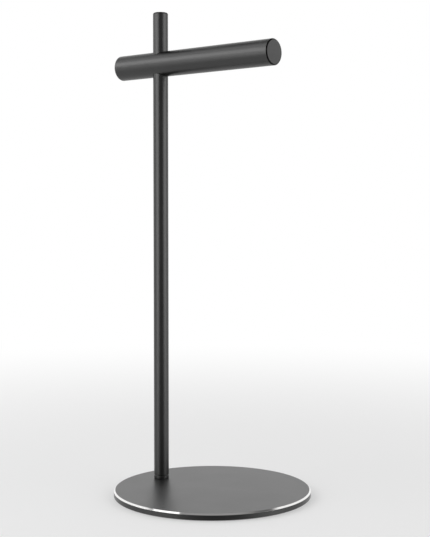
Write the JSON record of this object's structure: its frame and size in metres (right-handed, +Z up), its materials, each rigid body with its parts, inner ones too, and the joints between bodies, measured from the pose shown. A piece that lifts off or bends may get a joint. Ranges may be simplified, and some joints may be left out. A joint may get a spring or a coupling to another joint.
{
  "type": "headphone stand",
  "caption": "Headphone stand: a thin round base, a slim upright post near its edge and a round crossbar whose long arm carries the headband.",
  "frame": {"origin": "centre of the base on the surface it rests on", "axes": "+Z up along the post, +X along the crossbar's long arm, across the base from the post"},
  "size_m": [0.123, 0.11, 0.2716],
  "materials": {
    "plate_metal": "bead-blasted, black-grey anodised, with a bright-cut chamfer",
    "post_metal": "satin, black-grey anodised",
    "bar_metal": "satin, black-grey anodised",
    "finial_metal": "satin, black-grey anodised",
    "insert_metal": "turned, black-grey anodised",
    "pad_rubber": "matt, fine-grained",
    "ballast_steel": "zinc plated",
    "tape": "double-sided adhesive",
    "screw_steel": "black oxide"
  },
  "bodies": {
    "root": {"base_plate": "plate_metal", "anti_slip_pad": "pad_rubber", "ballast_plate": "ballast_steel", "ballast_tape": "tape", "base_screw": "screw_steel", "foot_insert": "insert_metal", "post_tube": "post_metal", "head_insert": "insert_metal", "joining_stud": "screw_steel", "crossbar": "bar_metal", "finial": "finial_metal"}
  },
  "joints": []
}
